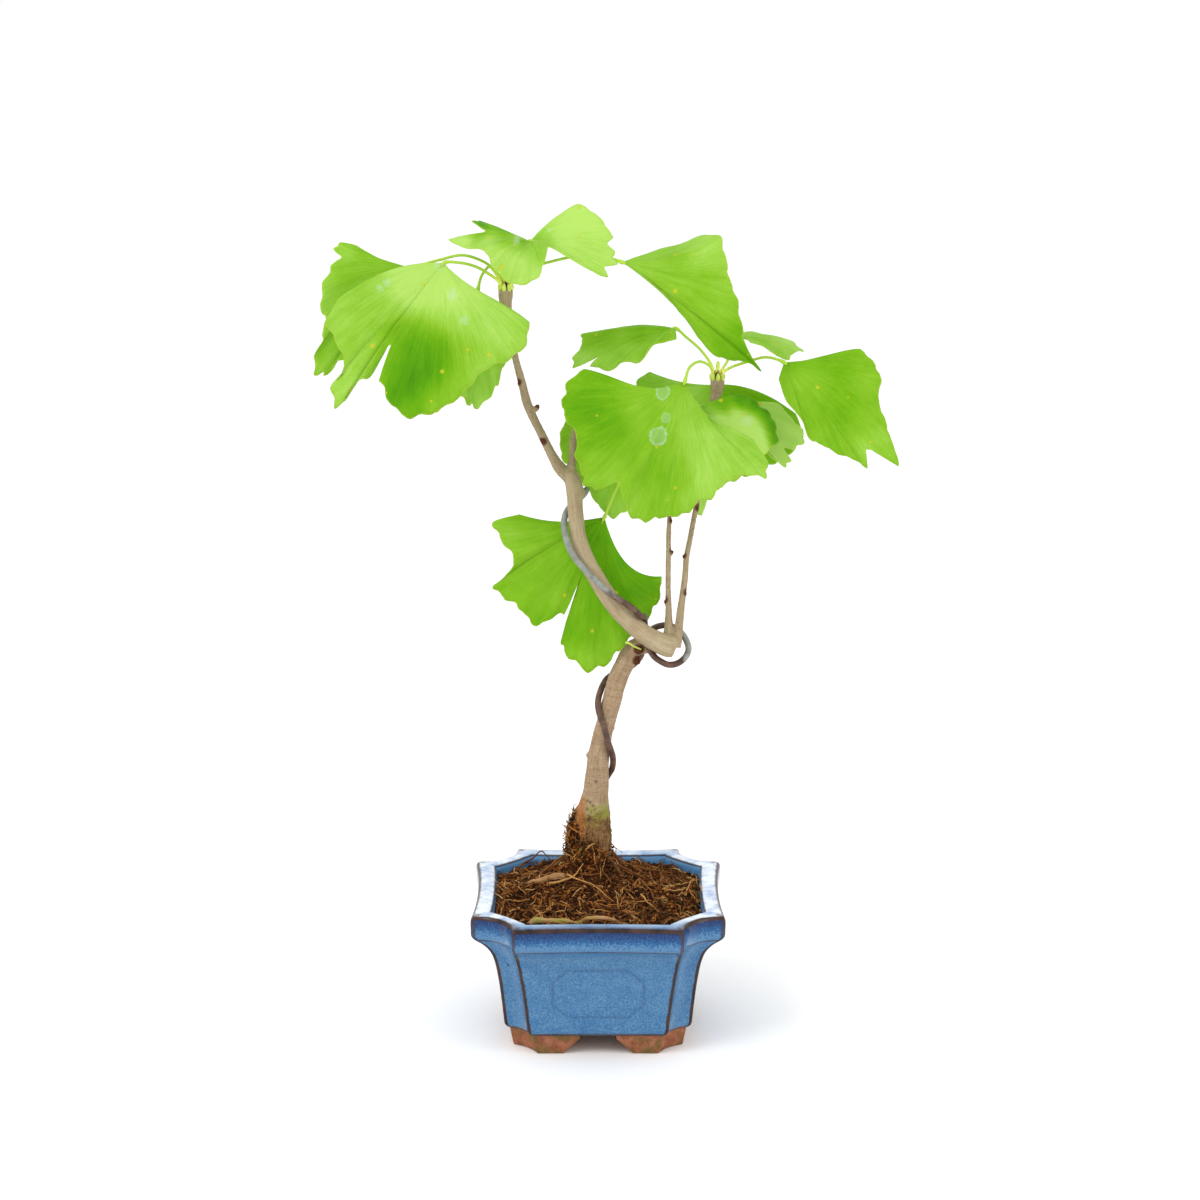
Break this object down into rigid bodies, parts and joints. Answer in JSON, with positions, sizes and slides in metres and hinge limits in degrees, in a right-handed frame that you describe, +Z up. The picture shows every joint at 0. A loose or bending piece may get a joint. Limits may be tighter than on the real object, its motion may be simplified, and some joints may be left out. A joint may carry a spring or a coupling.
{
  "type": "potted ginkgo bonsai",
  "caption": "Small wire-trained bonsai with a bent trunk and fan-shaped, wavy-edged leaves, planted in a square glazed pot with hollowed corners and cut-out feet.",
  "frame": {"origin": "centre of the whole plant's and pot's bounding box, at the underside of the pot's feet", "axes": "+Z up; +Y from the pot's front panel to its back; +X to the right, along the spread of the leaves"},
  "size_m": [0.269, 0.12, 0.3972],
  "materials": {
    "glaze": "glossy mottled blue stoneware glaze over a brown clay body, unglazed feet",
    "screen": "matte moulded mesh",
    "soil": "fibrous, damp and matte",
    "bark": "fine matte bark",
    "wire": "dull anodised",
    "leaf": "satin, translucent yellow-green with fine veins"
  },
  "bodies": {
    "root": {"pot": "glaze", "drain_screen": "screen", "soil": "soil", "tree": "bark", "wire": "wire", "leaf_left_front": "leaf", "leaf_left_back": "leaf", "leaf_left_hanging": "leaf", "leaf_crown": "leaf", "leaf_long_stalk": "leaf", "leaf_centre_front": "leaf", "leaf_centre_arched": "leaf", "leaf_right_back": "leaf", "leaf_right_end": "leaf", "leaf_right_behind": "leaf", "leaf_middle_curled": "leaf", "leaf_middle_forked": "leaf", "leaf_low": "leaf", "leaf_stub_back": "leaf"}
  },
  "joints": []
}
